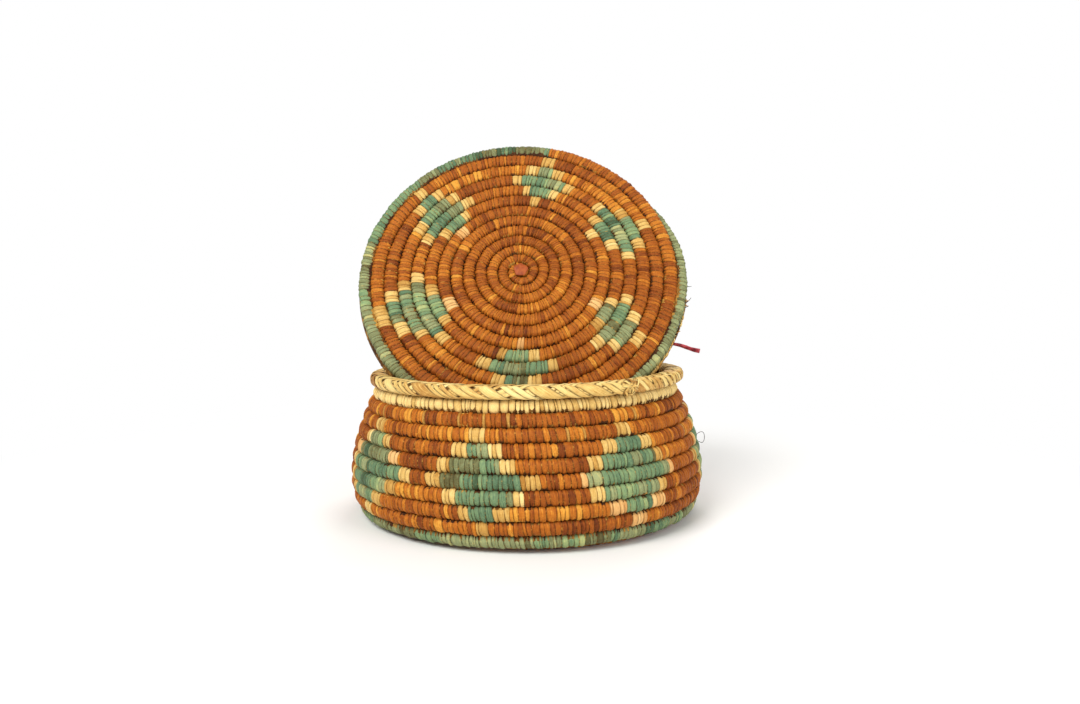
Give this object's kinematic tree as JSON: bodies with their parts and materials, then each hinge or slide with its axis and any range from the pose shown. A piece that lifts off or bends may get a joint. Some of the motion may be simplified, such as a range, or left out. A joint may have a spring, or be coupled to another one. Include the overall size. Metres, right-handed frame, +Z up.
{
  "type": "lidded coiled basket",
  "caption": "Low round coiled basket with a braided rim, stepped diamonds in its rows, and a slightly domed coiled lid propped in its mouth.",
  "frame": {"origin": "on the axis of the round basket, at the underside of its base, where it stands", "axes": "+Z up along the basket's axis, -Y the side that the outside of the propped lid faces, +X to its right seen from there"},
  "size_m": [0.256, 0.256, 0.2695],
  "materials": {
    "coil_rust": "dyed palm-like splint wrapped side by side, satin",
    "coil_green": "grey-green dyed splint wrapped side by side, satin",
    "coil_straw": "undyed straw splint, satin",
    "rim_straw": "flat undyed straw strips, braided, satin",
    "patch_leather": "brown leather, worn",
    "thong_leather": "red leather with dark edges"
  },
  "bodies": {
    "basket": {"base_coil": "coil_rust", "base_edge_coil": "coil_green", "wall_coil": "coil_rust", "neck_coil": "coil_straw", "rim_core": "rim_straw", "rim_braid": "rim_straw", "rim_knot": "rim_straw"},
    "lid": {"lid_coil": "coil_rust", "lid_edge_coil": "coil_green", "lid_seat_coil": "coil_straw", "lid_centre_patch": "patch_leather", "lid_thong": "thong_leather", "lid_thong_knot": "thong_leather"}
  },
  "joints": [
    {"name": "lid_lift", "type": "slide", "parent": "basket", "child": "lid", "axis": [0, 0, 1], "range_m": [0, 0.12]}
  ]
}
